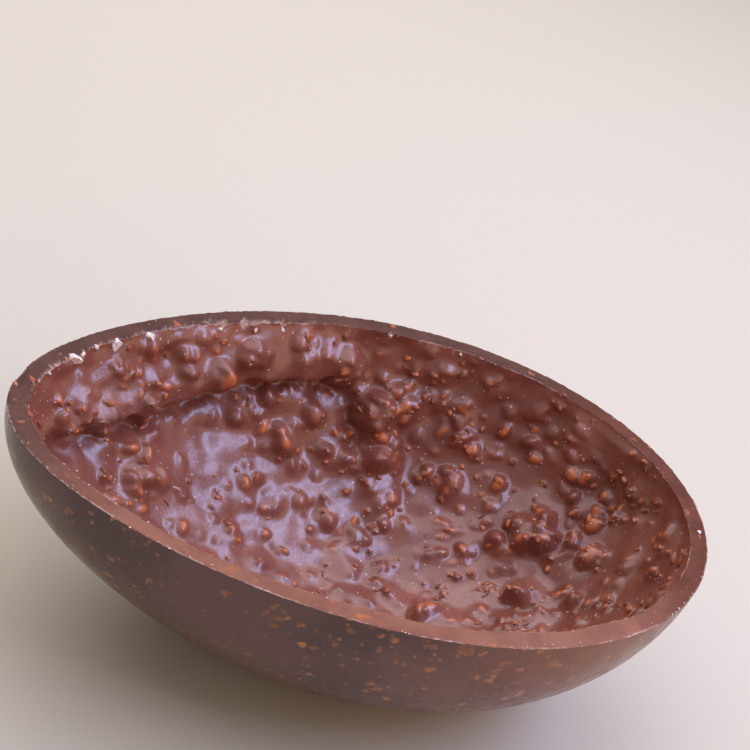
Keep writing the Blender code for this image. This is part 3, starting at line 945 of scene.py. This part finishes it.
thin_coat, tree, shader, place = start_material("thinly_coated_nut")
shader.inputs["IOR"].default_value = 1.5
shader.inputs["Roughness"].default_value = 0.28
thickness = add_node(tree, "ShaderNodeTexNoise", links=[("Vector", place)], Scale=per_metre(2.6), Detail=2.0)
thin_colour = blend_colours(tree, remap(tree, thickness.outputs["Fac"], 0.40, 0.62), "8A5038", "CC7444")
tree.links.new(thin_colour, shader.inputs["Base Color"])
nut_bits.data.materials.append(thin_coat)

roasted, tree, shader, place = start_material("roasted_nut")
shader.inputs["Roughness"].default_value = 0.40
fibre = add_node(tree, "ShaderNodeTexNoise", links=[("Vector", place)], Scale=per_metre(0.9), Detail=3.0)
roasted_colour = blend_colours(tree, remap(tree, fibre.outputs["Fac"], 0.35, 0.65), "8E4E30", "D39058")
tree.links.new(roasted_colour, shader.inputs["Base Color"])
bare_chips.data.materials.append(roasted)

meal, tree, shader, place = start_material("nut_and_chocolate_crumb")
shader.inputs["Roughness"].default_value = 0.65
mixed = add_node(tree, "ShaderNodeTexNoise", links=[("Vector", place)], Scale=per_metre(2.5), Detail=1.0)
meal_colour = blend_colours(tree, remap(tree, mixed.outputs["Fac"], 0.40, 0.60), "B58A74", "EEDFD2")
tree.links.new(meal_colour, shader.inputs["Base Color"])
crumbs.data.materials.append(meal)

curl, tree, shader, place = start_material("chocolate_shaving")
shader.inputs["Roughness"].default_value = 0.5
mixed = add_node(tree, "ShaderNodeTexNoise", links=[("Vector", place)], Scale=per_metre(3.0), Detail=2.0)
curl_colour = blend_colours(tree, remap(tree, mixed.outputs["Fac"], 0.40, 0.60), "7A4A3C", "B88A76")
tree.links.new(curl_colour, shader.inputs["Base Color"])
shavings.data.materials.append(curl)

# %% [markdown]
# ## Floor, light and camera

# %% Floor
bpy.ops.object.select_all(action="DESELECT")
bpy.ops.mesh.primitive_plane_add(size=4.0, location=(0, 0, 0))
floor = bpy.context.object
floor.name = "floor"
paper, tree, shader, place = start_material("pale_floor")
shader.inputs["Base Color"].default_value = linear("D0C7B2")
shader.inputs["Roughness"].default_value = 0.8
floor.data.materials.append(paper)

# %% Light
world = bpy.data.worlds.new("studio")
bpy.context.scene.world = world
world.use_nodes = True
world.node_tree.nodes["Background"].inputs["Color"].default_value = linear("F2F2F6")
world.node_tree.nodes["Background"].inputs["Strength"].default_value = 0.35


def soft_light(name, place, wide, tall, power, colour):
    """Area light that faces the middle of the egg; wide runs level, tall runs upwards."""
    data = bpy.data.lights.new(name, "AREA")
    data.shape = "RECTANGLE"
    data.size = wide
    data.size_y = tall
    data.energy = power
    data.color = linear(colour)[:3]
    lamp = bpy.data.objects.new(name, data)
    bpy.context.scene.collection.objects.link(lamp)
    lamp.location = place
    middle = Vector((0.0, 0.0, 0.5 * RIM_HEIGHT))
    lamp.rotation_euler = (Vector(place) - middle).to_track_quat("Z", "Y").to_euler()
    return lamp


soft_light("sky_window", (0.50, -0.14, 0.85), 1.0, 0.36, 8.8, "BFCAFF")
soft_light("overhead_softbox", (-0.28, 0.42, 1.1), 1.6, 1.4, 10.5, "F4F0FF")
soft_light("back_softbox", (0.12, 0.62, 0.72), 1.0, 0.6, 2.0, "FFF6F2")
soft_light("warm_bounce", (0.60, -0.66, 0.30), 1.5, 0.6, 2.8, "FFC48C")

# %% Camera
CAMERA_PLACE = Vector((-0.1634, -0.3162, RIM_HEIGHT + 0.2520))
CAMERA_AIM = Vector((0.0068, 0.0377, RIM_HEIGHT))
CAMERA_ROLL = math.radians(23.8)
camera_data = bpy.data.cameras.new("camera")
camera_data.lens = 77.8
camera = bpy.data.objects.new("camera", camera_data)
bpy.context.scene.collection.objects.link(camera)
look = (CAMERA_PLACE - CAMERA_AIM).to_track_quat("Z", "Y")
camera.matrix_world = (
    Matrix.Translation(CAMERA_PLACE) @ look.to_matrix().to_4x4() @ Matrix.Rotation(CAMERA_ROLL, 4, "Z")
)
bpy.context.scene.camera = camera
bpy.context.scene.view_settings.view_transform = "Standard"
